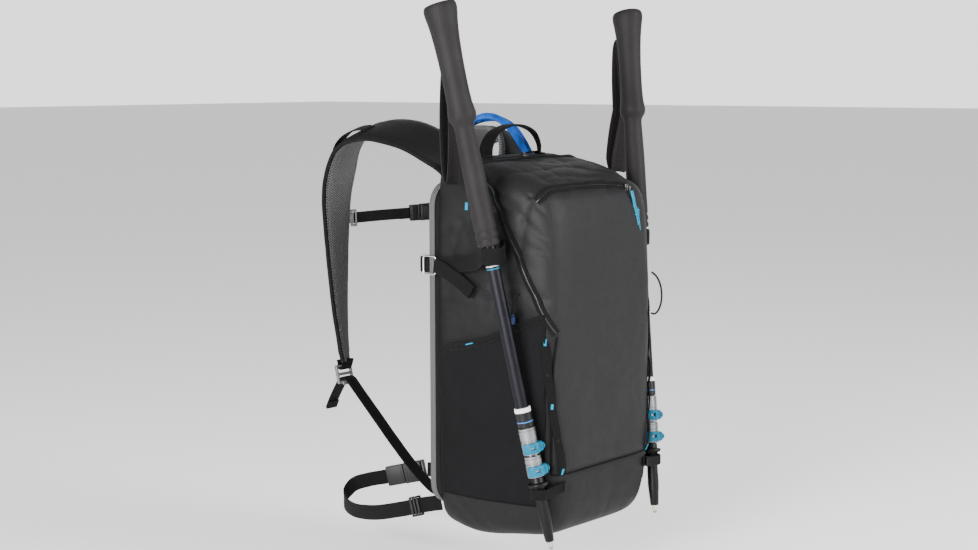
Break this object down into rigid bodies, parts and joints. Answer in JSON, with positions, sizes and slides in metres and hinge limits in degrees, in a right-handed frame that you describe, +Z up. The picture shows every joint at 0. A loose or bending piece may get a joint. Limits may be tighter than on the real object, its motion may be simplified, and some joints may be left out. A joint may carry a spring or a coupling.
{
  "type": "ski and hiking backpack",
  "caption": "Daypack with a zip-open front flap, stretch side pockets, curved shoulder straps, a drinking hose and telescopic poles stowed in side loops.",
  "frame": {"origin": "centre of the lumbar pad's flat outer face, which rests on the wearer's lower back", "axes": "+Z up, +Y out of the pads towards the wearer, -Y towards the pack's outer face, +X to the wearer's right"},
  "size_m": [0.4248, 0.4153, 0.6855],
  "materials": {
    "shell_fabric": "fine ripstop nylon, charcoal",
    "stretch_fabric": "stretch woven, near black",
    "air_mesh": "grey spacer mesh over foam",
    "webbing": "ribbed polyester webbing, black",
    "cord": "woven elastic cord, black",
    "grey_plastic": "moulded light grey",
    "steel_wire": "bent wire",
    "zip_metal": "black lacquer",
    "pull_cord": "braided cord, cyan",
    "reservoir_film": "clear blue film",
    "blue_plastic": "moulded, cyan",
    "hose_tube": "translucent blue",
    "blue_rubber": "soft silicone",
    "grip_foam": "closed-cell foam, warm dark grey",
    "upper_tube": "anodised dark grey",
    "silver_tube": "bright, brushed",
    "tip_plastic": "black moulded"
  },
  "bodies": {
    "pack": {"pack_shell": "shell_fabric", "side_pocket_left": "stretch_fabric", "side_pocket_right": "stretch_fabric", "back_panel": "air_mesh", "back_pad": "air_mesh", "lumbar_pad": "air_mesh", "shoulder_strap_left": "air_mesh", "shoulder_strap_right": "air_mesh", "haul_loop": "webbing", "hip_belt_left": "webbing", "hip_belt_right": "webbing", "strap_webbing_left": "webbing", "strap_webbing_right": "webbing", "compression_strap_left": "webbing", "compression_strap_right": "webbing", "pole_loop_left": "webbing", "pole_loop_right": "webbing", "daisy_chain_left": "webbing", "daisy_chain_right": "webbing", "ladder_lock_left": "grey_plastic", "ladder_lock_right": "grey_plastic", "hip_buckle_female": "grey_plastic", "compression_hook_left": "steel_wire", "compression_hook_right": "steel_wire", "reservoir": "reservoir_film", "hose": "hose_tube", "bite_valve": "blue_rubber"},
    "flap": {"front_flap": "shell_fabric", "cord_loop_right": "cord"},
    "front_zip_slider": {"front_zip_slider": "zip_metal"},
    "front_zip_pull": {"front_zip_pull": "pull_cord"},
    "main_zip_slider": {"main_zip_slider": "zip_metal"},
    "sternum": {"sternum_slider_left": "grey_plastic", "sternum_slider_right": "grey_plastic", "sternum_webbing": "webbing", "sternum_buckle_female": "grey_plastic"},
    "sternum_male": {"sternum_buckle_male": "grey_plastic"},
    "hip_male": {"hip_buckle_male": "grey_plastic"},
    "hip_slider": {"hip_slider": "grey_plastic"},
    "reservoir_cap": {"reservoir_cap": "blue_plastic"},
    "pole_left": {"pole_tip_left": "tip_plastic", "lower_shaft_left": "upper_tube"},
    "pole_middle_left": {"middle_shaft_left": "silver_tube", "clamp_lower_left": "silver_tube"},
    "pole_upper_left": {"upper_shaft_left": "upper_tube", "clamp_upper_left": "silver_tube", "grip_left": "grip_foam", "wrist_strap_left": "webbing"},
    "lever_lower_left": {"lever_lower_left": "blue_plastic"},
    "lever_upper_left": {"lever_upper_left": "blue_plastic"},
    "pole_right": {"pole_tip_right": "tip_plastic", "lower_shaft_right": "upper_tube"},
    "pole_middle_right": {"middle_shaft_right": "silver_tube", "clamp_lower_right": "silver_tube"},
    "pole_upper_right": {"upper_shaft_right": "upper_tube", "clamp_upper_right": "silver_tube", "grip_right": "grip_foam", "wrist_strap_right": "webbing"},
    "lever_lower_right": {"lever_lower_right": "blue_plastic"},
    "lever_upper_right": {"lever_upper_right": "blue_plastic"}
  },
  "joints": [
    {"name": "flap_fold", "type": "hinge", "parent": "pack", "child": "flap", "pos_m": [0, -0.1972, 0.147], "axis": [1, 0, 0], "range_deg": [0, 95]},
    {"name": "front_zip_slide", "type": "slide", "parent": "flap", "child": "front_zip_slider", "axis": [-1, 0, 0], "range_m": [0, 0.155]},
    {"name": "front_zip_pull_swing", "type": "hinge", "parent": "front_zip_slider", "child": "front_zip_pull", "pos_m": [0.08, -0.19277, 0.305], "axis": [-1, 0, 0], "range_deg": [0, 80]},
    {"name": "main_zip_slide", "type": "slide", "parent": "flap", "child": "main_zip_slider", "axis": [-1, 0, 0], "range_m": [-0.045, 0.045]},
    {"name": "sternum_height", "type": "slide", "parent": "pack", "child": "sternum", "axis": [0, 0, 1], "range_m": [-0.025, 0.025]},
    {"name": "sternum_buckle_release", "type": "slide", "parent": "sternum", "child": "sternum_male", "axis": [-0.8665, 0.4991, 0.008], "range_m": [0, 0.009]},
    {"name": "hip_buckle_release", "type": "slide", "parent": "pack", "child": "hip_male", "axis": [-0.4817, 0.8511, -0.2088], "range_m": [0, 0.015]},
    {"name": "hip_slider_slide", "type": "slide", "parent": "pack", "child": "hip_slider", "axis": [0.0454, 0.9543, -0.2954], "range_m": [0, 0.01]},
    {"name": "reservoir_cap_turn", "type": "hinge", "parent": "pack", "child": "reservoir_cap", "pos_m": [0, -0.0624, 0.185], "axis": [0, -1, 0], "range_deg": [0, 90]},
    {"name": "pole_lift_left", "type": "slide", "parent": "pack", "child": "pole_left", "axis": [-0.1204, 0.1599, 0.9798], "range_m": [0, 0.08]},
    {"name": "pole_middle_slide_left", "type": "slide", "parent": "pole_left", "child": "pole_middle_left", "axis": [-0.1204, 0.1599, 0.9798], "range_m": [0, 0.045]},
    {"name": "pole_upper_slide_left", "type": "slide", "parent": "pole_middle_left", "child": "pole_upper_left", "axis": [-0.1204, 0.1599, 0.9798], "range_m": [0, 0.045]},
    {"name": "lever_lower_left_turn", "type": "hinge", "parent": "pole_middle_left", "child": "lever_lower_left", "pos_m": [-0.11723, -0.18621, -0.01341], "axis": [-0.1204, 0.1599, 0.9798], "range_deg": [0, 100]},
    {"name": "lever_upper_left_turn", "type": "hinge", "parent": "pole_upper_left", "child": "lever_upper_left", "pos_m": [-0.12063, -0.18169, 0.01431], "axis": [-0.1204, 0.1599, 0.9798], "range_deg": [0, 100]},
    {"name": "pole_lift_right", "type": "slide", "parent": "pack", "child": "pole_right", "axis": [0.1204, 0.1599, 0.9798], "range_m": [0, 0.08]},
    {"name": "pole_middle_slide_right", "type": "slide", "parent": "pole_right", "child": "pole_middle_right", "axis": [0.1204, 0.1599, 0.9798], "range_m": [0, 0.045]},
    {"name": "pole_upper_slide_right", "type": "slide", "parent": "pole_middle_right", "child": "pole_upper_right", "axis": [0.1204, 0.1599, 0.9798], "range_m": [0, 0.045]},
    {"name": "lever_lower_right_turn", "type": "hinge", "parent": "pole_middle_right", "child": "lever_lower_right", "pos_m": [0.13234, -0.18621, -0.01527], "axis": [0.1204, 0.1599, 0.9798], "range_deg": [0, 100]},
    {"name": "lever_upper_right_turn", "type": "hinge", "parent": "pole_upper_right", "child": "lever_upper_right", "pos_m": [0.13575, -0.18169, 0.01246], "axis": [0.1204, 0.1599, 0.9798], "range_deg": [0, 100]}
  ]
}
